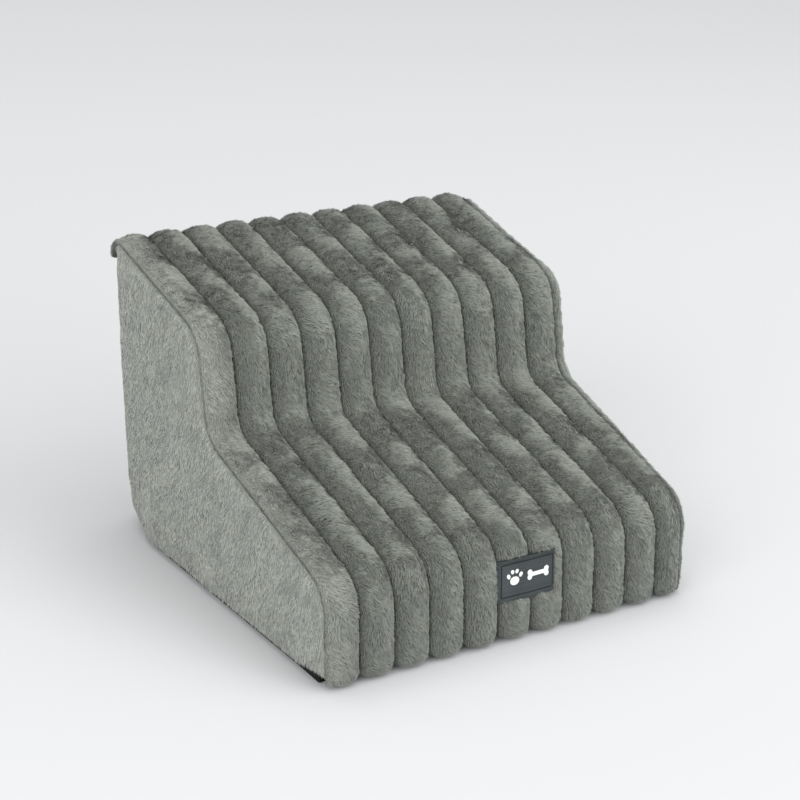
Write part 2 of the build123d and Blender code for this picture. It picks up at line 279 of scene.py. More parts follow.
def moulded(name, dark, light, roughness, grain, bump=0.15, level=0.4, painted_recess_shade=False):
    """Moulded rubber or plastic: an even colour with a fine tool grain and faint rubbed patches."""
    material, tree, shader = new_material(name, {"IOR": 1.5})
    shader.inputs["Specular IOR Level"].default_value = level
    place = object_point(tree)
    fine = add_node(
        tree, "ShaderNodeTexNoise", {"Scale": 1 / grain, "Detail": 2.0}, {"Vector": place}
    ).outputs["Fac"]
    rubbed = add_node(
        tree, "ShaderNodeTexNoise", {"Scale": 45.0, "Detail": 4.0}, {"Vector": place}
    ).outputs["Fac"]
    body = ramp(tree, rubbed, [(0.35, colour(dark)), (0.7, colour(light))])
    # Painted shade: the label's sunken faces are painted near black.
    if painted_recess_shade:
        deep = add_node(tree, "ShaderNodeAttribute", {"attribute_name": "painted_recess_shade"}).outputs["Fac"]
        body = mixed(tree, deep, body, colour("#101315"))
    tree.links.new(body, shader.inputs["Base Color"])
    gloss = add_node(
        tree,
        "ShaderNodeMapRange",
        {"To Min": roughness - 0.08, "To Max": roughness + 0.08},
        {"Value": rubbed},
    )
    tree.links.new(gloss.outputs["Result"], shader.inputs["Roughness"])
    bumped(tree, shader, fine, bump, grain * 0.4)
    return material


def gunmetal():
    """Die-cast zinc with a dark plated finish, worn a little paler in patches."""
    material, tree, shader = new_material("gunmetal_plated_zinc", {"Metallic": 1.0})
    place = object_point(tree)
    worn = add_node(
        tree, "ShaderNodeTexNoise", {"Scale": 420.0, "Detail": 5.0}, {"Vector": place}
    ).outputs["Fac"]
    body = ramp(tree, worn, [(0.4, colour("#4a4b4c")), (0.72, colour("#8b8c8d"))])
    tree.links.new(body, shader.inputs["Base Color"])
    gloss = add_node(
        tree, "ShaderNodeMapRange", {"To Min": 0.28, "To Max": 0.5}, {"Value": worn}
    )
    tree.links.new(gloss.outputs["Result"], shader.inputs["Roughness"])
    return material


plush_top = faux_rabbit_plush(
    "faux_rabbit_plush_grey",
    # The deep colour is for painted shade.
    deep="#333532",
    root="#5f625d",
    low="#7b7e78",
    tip="#a1a59e",
    # These two paler colours are for painted light on the first channel's left edge.
    lit_edge_low="#8f928c",
    lit_edge_tip="#c2c5be",
    clump=14 * mm,
    contrast=0.19,
)
plush_side = faux_rabbit_plush(
    "short_plush_pale_grey",
    # The deep colour is for painted shade on the walls.
    deep="#5d605c",
    root="#989b95",
    low="#a6a9a3",
    tip="#cccfc8",
    lit_edge_low="#a6a9a3",
    lit_edge_tip="#cccfc8",
    clump=26 * mm,
    contrast=0.14,
)
batting_white = fleecy("polyester_batting", "#d6d6d2", "#f1f1ee", 2.0 * mm)
liner_grey = fleecy("nonwoven_liner", "#b4b5b5", "#d2d3d3", 1.2 * mm)
backing_white = fleecy("nonwoven_backing", "#cfcfca", "#e8e8e4", 1.2 * mm)
foam_cream = fleecy("polyurethane_foam_firm", "#d5cda9", "#ece6cb", 1.4 * mm)
foam_pale = fleecy("polyurethane_foam_soft", "#c4d0db", "#e2e9ef", 1.0 * mm)
base_black = woven_cloth("oxford_cloth_black", "#0d0e0e", "#26282a", 0.9 * mm)
binding_black = woven_cloth("twill_binding_black", "#0b0b0c", "#1e1f21", 0.7 * mm)
tape_grey = woven_cloth("zip_tape_grey", "#3e403e", "#5c5f5b", 0.6 * mm)
thread_grey = woven_cloth("sewing_thread_grey", "#4c4e4b", "#72756f", 0.3 * mm)
grip_black = moulded("pvc_grip_black", "#0c0d0e", "#1b1d1f", 0.55, 0.5 * mm)
coil_nylon = moulded("nylon_coil_grey", "#30322f", "#4a4d49", 0.38, 0.4 * mm, 0.05, 0.5)
label_slate = moulded("label_rubber_slate", "#2b3133", "#363d3f", 0.6, 0.35 * mm, painted_recess_shade=True)
label_white = moulded("label_rubber_white", "#d9dcdc", "#eceeed", 0.5, 0.35 * mm, 0.08)
zip_metal = gunmetal()


def finish_with(piece, material):
    """Gives a piece one material on all its faces."""
    piece.data.materials.clear()
    piece.data.materials.append(material)


# ------------------------------------------------------------------ stepped outline

front_lean = math.radians(5)
lower_nose_height = 84 * mm
lower_tread_slope = math.radians(17)
lower_tread_run = 196.5 * mm
riser_lean = math.radians(13)
riser_height = 89 * mm
upper_tread_slope = math.radians(14.9)
back_lean = math.radians(2)
nose_radii = (33 * mm, 33 * mm, 36 * mm, 15 * mm)
channel_crown = 10 * mm
floor_gap = 2.6 * mm
plush_thickness = 2.5 * mm
wall_thickness = 5 * mm
back_depth = 0.7
run_under_back = 25 * mm


def corners_of_outline():
    """The stitched grooves' line in side view: its corners (Y, Z) from the foot to the back."""
    foot_y = cad_low.y + channel_crown - (floor_gap + channel_crown) * math.tan(front_lean)
    foot = np.array((foot_y, 0.0))
    lower = foot + np.array((math.tan(front_lean), 1)) * lower_nose_height
    valley = lower + np.array((1, math.tan(lower_tread_slope))) * lower_tread_run
    upper = valley + np.array((math.tan(riser_lean), 1)) * riser_height
    back_y = cad_high.y - wall_thickness * back_depth
    back = upper + np.array((1, math.tan(upper_tread_slope))) * (back_y - upper[0])
    under = back - np.array((math.tan(back_lean), 1)) * run_under_back
    return [foot, lower, valley, upper, back, under]


class RoundedRun:
    """A line through corners with rounded turns, read by the distance along it."""

    def __init__(self, corners, radii):
        self.spans = []
        start = corners[0]
        for before, corner, after, radius in zip(corners, corners[1:], corners[2:], radii):
            arriving = (corner - before) / np.linalg.norm(corner - before)
            leaving = (after - corner) / np.linalg.norm(after - corner)
            turn = math.acos(float(np.clip(arriving @ leaving, -1, 1)))
            side = math.copysign(1, arriving[0] * leaving[1] - arriving[1] * leaving[0])
            setback = radius * math.tan(turn / 2)
            first = corner - arriving * setback
            straight = float(np.linalg.norm(first - start))
            self.spans.append(("line", start, arriving, straight, 0, 0))
            self.spans.append(("arc", first, arriving, radius * turn, radius, side))
            start = corner + leaving * setback
        end = corners[-1]
        direction = (end - start) / np.linalg.norm(end - start)
        self.spans.append(("line", start, direction, float(np.linalg.norm(end - start)), 0, 0))
        self.length = sum(span[3] for span in self.spans)

    def at(self, distance):
        """The point and the outward normal at a distance along the run."""
        for kind, start, along, length, radius, side in self.spans:
            if distance <= length or (kind, start) is self.spans[-1][:2]:
                break
            distance -= length
        if kind == "line":
            return start + along * distance, np.array((-along[1], along[0]))
        angle = side * distance / radius
        normal = np.array((-along[1], along[0]))
        turned = np.array(
            (
                along[0] * math.cos(angle) - along[1] * math.sin(angle),
                along[0] * math.sin(angle) + along[1] * math.cos(angle),
            )
        )
        outward = np.array((-turned[1], turned[0]))
        return start + side * radius * (normal - outward), outward


channel_run = RoundedRun(corners_of_outline(), nose_radii)

# ------------------------------------------------------------------ how the cover sits

pull_places = np.array((-190, -90, 30, 110, 200)) * mm
pull_amounts = np.array((12, 6, 0, 3, 3.5)) * mm
foot_pull = 2.5 * mm
foot_pull_start = 90 * mm
foot_pull_reach = 60 * mm
pull_start = 150.5 * mm
tuck_heights = np.array((0, 8, 25, 55, 100, 160, 250)) * mm
tuck_amounts = np.array((17, 14, 8.5, 6.2, 4.4, 2.4, 0)) * mm
tuck_start = 166 * mm
tuck_depth = 110 * mm
tuck_reach = 80 * mm


def eased(share):
    """A share held between 0 and 1, with soft ends."""
    share = np.clip(share, 0, 1)
    return share * share * (3 - 2 * share)


def settled(points):
    """Where points lie once the cover is on: its right side is drawn in towards the front, and
    its two back corners are tucked in towards the floor."""
    x, y, z = np.asarray(points, float).T.copy()
    amount = np.interp(y, pull_places, pull_amounts)
    towards_foot = eased((-y - foot_pull_start) / foot_pull_reach)
    amount += foot_pull * np.clip(1 - z / lower_nose_height, 0, 1) * towards_foot
    share = np.clip((x - pull_start) / (cad_high.x - pull_start), 0, 1)
    outer = eased((np.abs(x) - tuck_start) / (cad_high.x - tuck_start))
    at_back = eased((y - tuck_depth) / tuck_reach)
    tuck = np.interp(z, tuck_heights, tuck_amounts) * outer * at_back
    return np.stack((x - amount * share**2 - np.sign(x) * tuck, y - tuck, z), 1)


def new_mesh_object(name, points, faces):
    """A mesh object at the origin."""
    mesh = bpy.data.meshes.new(name)
    mesh.from_pydata([tuple(point) for point in points], [], faces)
    mesh.update()
    piece = bpy.data.objects.new(name, mesh)
    bpy.context.scene.collection.objects.link(piece)
    return piece


def coordinates(mesh):
    """A mesh's points as an array."""
    values = np.zeros(len(mesh.vertices) * 3, np.float32)
    mesh.vertices.foreach_get("co", values)
    return values.reshape(-1, 3).astype(float)


def directions(mesh):
    """A mesh's point normals as an array."""
    values = np.zeros(len(mesh.vertices) * 3, np.float32)
    mesh.vertices.foreach_get("normal", values)
    return values.reshape(-1, 3).astype(float)


def put_points(piece, points):
    """Moves a piece's points."""
    piece.data.vertices.foreach_set("co", np.asarray(points, np.float32).ravel())
    piece.data.update()


def store(piece, name, values, kind="FLOAT"):
    """Stores a value or a vector at each point of a piece."""
    attribute = piece.data.attributes.new(name, kind, "POINT")
    key = "vector" if kind == "FLOAT_VECTOR" else "value"
    attribute.data.foreach_set(key, np.asarray(values, np.float32).ravel())


def smooth(piece):
    """Shades all the faces of a piece smoothly."""
    piece.data.polygons.foreach_set("use_smooth", [True] * len(piece.data.polygons))


def merged_copy(node_name, name):
    """A copy of a CAD node's mesh with its loose triangles joined."""
    piece = bpy.data.objects.new(name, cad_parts[node_name].data.copy())
    bpy.context.scene.collection.objects.link(piece)
    weld = piece.modifiers.new("weld", "WELD")
    weld.merge_threshold = 0.02 * mm
    return piece


def baked(piece):
    """Applies a piece's modifiers."""
    bpy.context.view_layer.update()
    shown = piece.evaluated_get(bpy.context.evaluated_depsgraph_get())
    made = bpy.data.meshes.new_from_object(shown)
    piece.modifiers.clear()
    piece.data = made
    return piece


def remeshed(piece, voxel):
    """An even mesh of a piece's shape."""
    remesh = piece.modifiers.new("remesh", "REMESH")
    remesh.mode = "VOXEL"
    remesh.voxel_size = voxel
    return baked(piece)


label_low, label_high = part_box("label_patch")
label_trim = 1 * mm
label_level = 5.2 * mm
label_depth = 30 * mm
press_margin = 3 * mm
press_reach = 4 * mm
front_foot = np.array(corners_of_outline()[0])
front_along = np.array((math.sin(front_lean), math.cos(front_lean)))
front_out = np.array((-math.cos(front_lean), math.sin(front_lean)))


def label_inset(points):
    """How far inside the label's outline points of the front lie; less than nothing elsewhere."""
    x, y, z = np.asarray(points).T
    inset_x = np.minimum(x - label_low.x, label_high.x - x)
    inset_z = np.minimum(z - label_low.z, label_high.z - z)
    at_front = np.where(y < cad_low.y + label_depth, 0, -1)
    return np.minimum(inset_x, inset_z) + at_front


def pressed(points, limit):
    """Holds points under the label down to a level above the stitched grooves."""
    points = np.array(points)
    cover = eased((label_inset(points) + press_margin) / press_reach)
    level = (points[:, 1:] - front_foot) @ front_out
    drop = np.maximum(0, level - limit) * cover
    points[:, 1:] -= np.outer(drop, front_out)
    return points


def stands_for(piece, node_name):
    """Puts a finished piece on the ramp in place of a CAD node."""
    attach(piece, "ramp")
    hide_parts(node_name)


# ------------------------------------------------------------------ inside and base

base_drawn_back = 12 * mm
quilting_sunk = 0.9 * mm
quilting_lifted = 10 * mm
lifted_below = 30 * mm
front_zone = 150 * mm
front_reach = 40 * mm
under_label = ("channel_filling_06", "channel_filling_07")
filling_voxel = 2.5 * mm
front_drawn_in = 0.02
inside = {
    "foam_core_lower": (foam_cream, "foam"),
    "foam_core_upper": (foam_cream, "foam"),
    "comfort_foam_layer": (foam_pale, "soft_foam"),
    "inner_liner_wrap": (liner_grey, "liner"),
    "inner_liner_left": (liner_grey, "liner"),
    "inner_liner_right": (liner_grey, "liner"),
    "quilt_backing": (backing_white, "backing"),
    "channel_stitching": (thread_grey, "thread"),
    "base_binding": (binding_black, "binding"),
    "base_panel": (base_black, "base_cloth"),
    "base_grip_dots": (grip_black, "grip"),
}
for number in range(1, 13):
    inside[f"channel_filling_{number:02d}"] = (batting_white, "batting")
for node_name, (material, slot) in inside.items():
    piece = merged_copy(node_name, f"settled_{node_name}")
    if node_name in under_label:
        remeshed(piece, filling_voxel)
    baked(piece)
    points = coordinates(piece.data)
    near_front = eased((-front_zone - points[:, 1]) / front_reach)
    if node_name.startswith(("channel", "quilt")):
        points -= quilting_sunk * directions(piece.data)
    if not node_name.startswith("base"):
        low_down = eased((lifted_below - points[:, 2]) / lifted_below)
        points[:, 2] += quilting_lifted * near_front * low_down
    points = pressed(settled(points), label_level - plush_thickness)
    if node_name.startswith("base"):
        points[:, 1] += base_drawn_back * near_front
    points[:, 0] *= 1 - front_drawn_in * near_front
    put_points(piece, points)
    finish_with(piece, material)
    stands_for(piece, node_name)

for node_name, material in (
    ("zip_tape_upper", tape_grey),
    ("zip_tape_lower", tape_grey),
    ("zip_end_stops", zip_metal),
    ("zip_slider", zip_metal),
    ("zip_pull", zip_metal),
):
    finish_with(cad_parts[node_name], material)

# ------------------------------------------------------------------ quilted channels

first_width = 29 * mm
full_width = 35 * mm
strip_width = 8 * mm
full_count = 10
row_step = 4 * mm
columns = 18
section_power = 2.2
foot_start = 0.4 * mm
foot_round = 9 * mm
foot_curl = 7 * mm
foot_curl_fade = 28 * mm
first_edge_curl = 0.4
run_margin = 6 * mm
seam_wander = 0.8 * mm
back_round = 20 * mm
start_share = 0.94
strip_crown = 3.5 * mm
first_edge_rise = 7 * mm
rim_overlap = 3 * mm
underside = 0.8 * mm
# Painted light: how much paler the first channel's left edge is painted, by height.
first_lit_heights = (0, 0.12, 0.22)
first_lit_shares = (0.5, 0.6, 1)
lay_lean = 0.35
lay_turn = 1.2
lay_patch = 30 * mm
widths = [first_width] + [full_width] * full_count + [strip_width]
groove_places = np.concatenate(([0], np.cumsum(widths))) + cad_low.x + wall_thickness
row_count = round((channel_run.length - run_margin) / row_step)
row_places = np.linspace(foot_start, channel_run.length - run_margin, row_count + 1)


def wander(place, seed, reach):
    """A smooth value between -1 and 1 along a seam."""
    return noise.noise(Vector((place / reach, seed * 7.3, 0.5)))


def groove_x(number, place):
    """X of a groove at a distance along the run; the sewn line wanders by under a millimetre."""
    if number in (0, len(widths)):
        return groove_places[number]
    return groove_places[number] + seam_wander * wander(place, number, 70 * mm)


def end_round(place):
    """How full a channel is near its two ends, where it rounds in to its seams."""
    from_foot = np.clip((place - row_places[0]) / foot_round, 0, 1)
    from_back = np.clip((row_places[-1] - place) / back_round, 0, 1)
    return math.sqrt(1 - (1 - from_foot) ** 2) * math.sqrt(1 - (1 - from_back) ** 2)


def channel_points(number):
    """Rows of points across one channel's crown, and then two points of its flat underside.

    Also which are sewn, how much painted light each gets, and the way the pile lies there."""
    crown = channel_crown if number < len(widths) - 1 else strip_crown
    points, pinned, pale, lay = [], [], [], []
    for row, place in enumerate(row_places):
        left, right = groove_x(number, place), groove_x(number + 1, place)
        at_end = row in (0, len(row_places) - 1)
        for column in range(columns + 3):
            below = column > columns
            across = -math.cos(math.pi * column / columns)
            if below:
                across = (columns + 1.5 - column) * 2
            near_foot = max(0, 1 - (place - row_places[0]) / foot_curl_fade)
            curl = foot_curl * abs(across) ** 3 * near_foot
            curl *= first_edge_curl if number == 0 and across < 0 else 1
            (y, z), normal = channel_run.at(place + curl)
            x = (left + right) / 2 + across * (right - left) / 2
            x += rim_overlap * min(0, across) if number == 0 else 0
            lumps = 0.05 * wander(place, number + 20, 60 * mm) + 0.04 * noise.noise(
                Vector((x, y, z)) / (26 * mm)
            )
            rise = crown * start_share * end_round(place) * (1 + lumps)
            rise *= max(0, 1 - abs(across) ** section_power) ** 0.5
            if number == 0 and across < 0:
                rise = max(rise, first_edge_rise * end_round(place))
            if below:
                rise = -underside
            points.append((x, y + normal[0] * rise, z + normal[1] * rise))
            pinned.append(below or column in (0, columns) or at_end)
            # Painted light: the first channel is painted paler towards its left edge, more so
            # higher up, fading into the wall's tone.
            edge = float(eased((0.7 - across) / 1.5)) if number == 0 else 0
            pale.append(edge * float(np.interp(z, first_lit_heights, first_lit_shares)))
            turn = lay_lean + lay_turn * noise.noise(Vector((x, y, z)) / lay_patch)
            side = math.sin(turn) * (1 - abs(across) ** 4)
            down = math.cos(turn)
            lay.append((side, -down * normal[1], down * normal[0]))
    return np.array(points), pinned, pale, lay


def channel_faces(offset):
    """Quads round one channel from row to row, and its two closed ends."""
    ring = columns + 3
    faces = []
    for row in range(len(row_places) - 1):
        for step in range(ring):
            near = offset + row * ring
            ahead = near + ring
            following = (step + 1) % ring
            faces.append((near + following, ahead + following, ahead + step, near + step))
    faces.append(tuple(offset + step for step in reversed(range(ring))))
    last = offset + (len(row_places) - 1) * ring
    faces.append(tuple(last + step for step in range(ring)))
    return faces


def inflate(piece, pinned, pressure, most, frames=20):
    """Blows a sewn piece up as cloth, holds its pinned points, and caps how far a point moves."""
    before = coordinates(piece.data)
    group = piece.vertex_groups.new(name="sewn")
    group.add([index for index, held in enumerate(pinned) if held], 1.0, "REPLACE")
    cloth = piece.modifiers.new("cloth", "CLOTH")
    cloth.settings.vertex_group_mass = "sewn"
    cloth.settings.use_pressure = True
    cloth.settings.uniform_pressure_force = pressure
    cloth.settings.quality = 4
    cloth.settings.mass = 0.3
    cloth.settings.tension_stiffness = 12
    cloth.settings.compression_stiffness = 12
    cloth.settings.shear_stiffness = 4
    cloth.settings.bending_stiffness = 0.6
    cloth.settings.shrink_min = -0.015
    cloth.settings.effector_weights.gravity = 0
    cloth.collision_settings.use_collision = False
    cloth.point_cache.frame_start = 1
    cloth.point_cache.frame_end = frames
    for step in range(1, frames + 1):
        bpy.context.scene.frame_set(step)
    view = bpy.context.evaluated_depsgraph_get()
    shown = piece.evaluated_get(view).to_mesh()
    after = coordinates(shown)
    piece.evaluated_get(view).to_mesh_clear()
    piece.modifiers.remove(cloth)
    bpy.context.scene.frame_set(1)
    travel = after - before
    normals = directions(piece.data)
    travel -= np.minimum(0, (travel * normals).sum(1, keepdims=True)) * normals
    size = np.maximum(np.linalg.norm(travel, axis=1, keepdims=True), 1e-9)
    return before + travel * np.minimum(1, most / size)


# ------------------------------------------------------------------ pile


def pile_tree():
    """Geometry Nodes that grow tufts from a cloth along the way that its pile lies."""
    tree = bpy.data.node_groups.new("plush_pile", "GeometryNodeTree")
    tree.interface.new_socket("Geometry", in_out="INPUT", socket_type="NodeSocketGeometry")
    for name, kind in (
        ("Tufts per square metre", "NodeSocketFloat"),
        ("Tuft length", "NodeSocketFloat"),
        ("Tuft width", "NodeSocketFloat"),
        ("Rise", "NodeSocketFloat"),
        ("Swirl", "NodeSocketFloat"),
        ("Clump size", "NodeSocketFloat"),
        ("Stray", "NodeSocketFloat"),
        ("Seed", "NodeSocketInt"),
        ("Material", "NodeSocketMaterial"),
    ):
        tree.interface.new_socket(name, in_out="INPUT", socket_type=kind)
    tree.interface.new_socket("Geometry", in_out="OUTPUT", socket_type="NodeSocketGeometry")
    given = tree.nodes.new("NodeGroupInput").outputs

    def named(name, kind):
        """A value stored on the cloth."""
        node = add_node(tree, "GeometryNodeInputNamedAttribute", {"data_type": kind, "Name": name})
        return node.outputs["Attribute"]

    def joined(kind, operation, sources, result=0):
        """One sum on values or vectors, each a socket or a number; returns its output."""
        node = add_node(tree, kind, {"operation": operation})
        for place, source in sources.items():
            if hasattr(source, "is_linked"):
                tree.links.new(source, node.inputs[place])
            else:
                node.inputs[place].default_value = source
        return node.outputs[result]

    value, vector = "ShaderNodeMath", "ShaderNodeVectorMath"
    cloth = add_node(
        tree,
        "GeometryNodeStoreNamedAttribute",
        {"data_type": "FLOAT_VECTOR", "domain": "POINT", "Name": "lie"},
        {
            "Geometry": given["Geometry"],
            "Value": add_node(tree, "GeometryNodeInputNormal").outputs[0],
        },
    ).outputs[0]
    density = joined(
        value, "MULTIPLY", {0: given["Tufts per square metre"], 1: named("pile", "FLOAT")}
    )
    scatter = add_node(
        tree,
        "GeometryNodeDistributePointsOnFaces",
        {"distribute_method": "RANDOM"},
        {"Mesh": cloth, "Density": density, "Seed": given["Seed"]},
    )
    normal = scatter.outputs["Normal"]
    lay = named("lay", "FLOAT_VECTOR")
    into = joined(vector, "DOT_PRODUCT", {0: lay, 1: normal}, "Value")
    upright = joined(vector, "SCALE", {0: normal, "Scale": into})
    flat = joined(vector, "SUBTRACT", {0: lay, 1: upright})
    flat = joined(vector, "NORMALIZE", {0: flat})
    fineness = joined(value, "DIVIDE", {0: 1.0, 1: given["Clump size"]})
    clumps = add_node(
        tree,
        "ShaderNodeTexNoise",
        {"Detail": 1.0},
        {"Vector": add_node(tree, "GeometryNodeInputPosition").outputs[0], "Scale": fineness},
    )
    swirl = joined(vector, "SUBTRACT", {0: clumps.outputs["Color"], 1: (0.5, 0.5, 0.5)})
    swirl = joined(vector, "SCALE", {0: swirl, "Scale": given["Swirl"]})
    chance = add_node(tree, "FunctionNodeRandomValue", {"data_type": "FLOAT_VECTOR"})
    chance.inputs["Min"].default_value = (-1, -1, -1)
    chance.inputs["Max"].default_value = (1, 1, 1)
    tree.links.new(given["Seed"], chance.inputs["Seed"])
    stray = joined(vector, "SCALE", {0: chance.outputs[0], "Scale": given["Stray"]})
    lifted = joined(vector, "SCALE", {0: normal, "Scale": given["Rise"]})
    combed = joined(vector, "ADD", {0: flat, 1: lifted})
    ruffled = joined(vector, "ADD", {0: swirl, 1: stray})
    lean = joined(vector, "ADD", {0: combed, 1: ruffled})
    turn = add_node(tree, "FunctionNodeAlignRotationToVector", {"axis": "Z"}, {"Vector": lean})
    tuft = add_node(
        tree,
        "GeometryNodeMeshCone",
        {"fill_type": "NGON", "Vertices": 3, "Radius Top": 0.0, "Depth": 1.0},
        {"Radius Bottom": joined(value, "MULTIPLY", {0: given["Tuft width"], 1: 0.5})},
    )
    height = add_node(
        tree,
        "ShaderNodeSeparateXYZ",
        links={0: add_node(tree, "GeometryNodeInputPosition").outputs[0]},
    )
    marked = add_node(
        tree,
        "GeometryNodeStoreNamedAttribute",
        {"data_type": "FLOAT", "domain": "POINT", "Name": "along"},
        {"Geometry": tuft.outputs["Mesh"], "Value": height.outputs["Z"]},
    )
    uneven = add_node(tree, "FunctionNodeRandomValue", {"data_type": "FLOAT"})
    uneven.inputs[2].default_value = 0.7
    uneven.inputs[3].default_value = 1.15
    long = joined(value, "MULTIPLY", {0: given["Tuft length"], 1: uneven.outputs[1]})
    long = joined(value, "MULTIPLY", {0: long, 1: named("pile_length", "FLOAT")})
    size = add_node(tree, "ShaderNodeCombineXYZ", {"X": 1.0, "Y": 1.0}, {"Z": long})
    grown = add_node(
        tree,
        "GeometryNodeInstanceOnPoints",
        links={
            "Points": scatter.outputs["Points"],
            "Instance": marked.outputs["Geometry"],
            "Rotation": turn.outputs["Rotation"],
            "Scale": size.outputs[0],
        },
    )
    shade = add_node(tree, "FunctionNodeRandomValue", {"data_type": "FLOAT"})
    shaded = add_node(
        tree,
        "GeometryNodeStoreNamedAttribute",
        {"data_type": "FLOAT", "domain": "INSTANCE", "Name": "tuft_shade"},
        {"Geometry": grown.outputs[0], "Value": shade.outputs[1]},
    )
    real = add_node(tree, "GeometryNodeRealizeInstances", links={0: shaded.outputs[0]})
    together = add_node(tree, "GeometryNodeJoinGeometry")
    tree.links.new(real.outputs[0], together.inputs[0])
    tree.links.new(cloth, together.inputs[0])
    coated = add_node(
        tree,
        "GeometryNodeSetMaterial",
        links={"Geometry": together.outputs[0], "Material": given["Material"]},
    )
    add_node(tree, "NodeGroupOutput", links={0: coated.outputs[0]})
    return tree


def run_nodes(piece, tree, values):
    """Runs Geometry Nodes on a piece and keeps the result as its plain mesh."""
    modifier = piece.modifiers.new(tree.name, "NODES")
    modifier.node_group = tree
    for item in tree.interface.items_tree:
        if item.in_out == "INPUT" and item.name in values:
            modifier[item.identifier] = values[item.name]
    return baked(piece)


pile_nodes = pile_tree()
top_pile = {
    "Tufts per square metre": 0.85e6,
    "Tuft length": 4.2 * mm,
    "Tuft width": 1.2 * mm,
    "Rise": 0.34,
    "Swirl": 1.3,
    "Clump size": 7 * mm,
    "Stray": 0.24,
    "Material": plush_top,
}
side_pile = {
    "Tufts per square metre": 0.6e6,
    "Tuft length": 4.0 * mm,
    "Tuft width": 0.95 * mm,
    "Rise": 0.22,
    "Swirl": 0.6,
    "Clump size": 12 * mm,
    "Stray": 0.12,
    "Material": plush_side,
}


def crease_shade(across):
    """Painted shade on the pile across a channel: darkest down in the grooves, and painted darker
    on the left flank than on the right."""
    return np.clip(0.95 * np.abs(across) ** 30 + 0.24 * eased((0.35 - across) / 1.3), 0, 1)


channel_pressure = 6.0
channel_swell = 2.4 * mm
sideways_travel = 0.45
full_pile_height = 7 * mm


def make_channels():
    """The quilted top: one plush channel a piece, each with its pile."""
    ring = columns + 3
    made = [channel_points(number) for number in range(len(widths))]
    size = len(made[0][0])
    faces = [face for number in range(len(widths)) for face in channel_faces(number * size)]
    starts = np.concatenate([each[0] for each in made])
    together = new_mesh_object("channels_together", starts, faces)
    held = [sewn for each in made for sewn in each[1]]
    blown = inflate(together, held, channel_pressure, channel_swell)
    bpy.data.objects.remove(together)
    for number, (start, _, pale, lay) in enumerate(made):
        travel = blown[number * size : (number + 1) * size] - start
        travel[:, 0] *= sideways_travel
        points = pressed(settled(start + travel), label_level)
        column = np.arange(size) % ring
        across = np.where(column > columns, 1, -np.cos(np.pi * column / columns))
        bare = (column > columns) | (label_inset(points) > label_trim)
        length = (1 - 0.5 * np.abs(across) ** 5) * np.clip(points[:, 2] / full_pile_height, 0.3, 1)
        piece = new_mesh_object(f"plush_channel_{number + 1:02d}", points, channel_faces(0))
        store(piece, "pile", ~bare)
        store(piece, "pile_length", length)
        store(piece, "pale", pale)
        # Painted shade in the grooves and on the left flank; the first channel gets none on its
        # left part, by the wall.
        painted_shade = crease_shade(across)
        if number == 0:
            painted_shade[across < 0.3] = 0
        store(piece, "painted_shade", painted_shade)
        store(piece, "lay", lay, "FLOAT_VECTOR")
        smooth(piece)
        subdivided = piece.modifiers.new("rounded", "SUBSURF")
        subdivided.levels = subdivided.render_levels = 1
        run_nodes(piece, pile_nodes, {**top_pile, "Seed": number + 1})
        stands_for(piece, "plush_top_panel")


make_channels()

# ------------------------------------------------------------------ plain walls of the cover

wall_start = 1.4 * mm
wall_swell = 1.4 * mm
wall_pressure = 3.0
wall_voxel = 3.2 * mm
wall_pile_height = 8 * mm
corner_width = 22 * mm
corner_depth = 34 * mm
hem_lift = 7 * mm
hem_gap = 3.2 * mm
hem_reach = 34 * mm
hem_length = 36 * mm


def outward_shares(points, normals):
    """How far each point's normal faces away from the middle of the ramp, seen from above."""
    half_x, back = cad_high.x, cad_high.y
    beside = np.sign(points[:, 0])
    sideways = np.abs(points[:, 0]) > half_x - 2 * wall_thickness
    shares = np.where(sideways, normals[:, 0] * beside, normals[:, 1] * (points[:, 1] > 0))
    at_corner = np.abs(points[:, 0]) > half_x - corner_width
    round_corner = at_corner & (points[:, 1] > back - corner_depth)
    diagonal = (normals[:, 0] * beside + normals[:, 1]) * math.sqrt(0.5)
    return np.where(round_corner, diagonal, shares)


def lifted_hem(points):
    """Lifts every wall's hem a little off the black base, and the left one most at the front."""
    front = cad_low.y + channel_crown
    near_front = np.clip((front + hem_length - points[:, 1]) / hem_length, 0, 1)
    near_floor = np.clip((hem_reach - points[:, 2]) / hem_reach, 0, 1)
    lift = hem_lift * np.sqrt(near_front) * near_floor * (points[:, 0] < 0)
    lift += hem_gap * near_floor
    return points + np.outer(lift, (0, 0, 1))


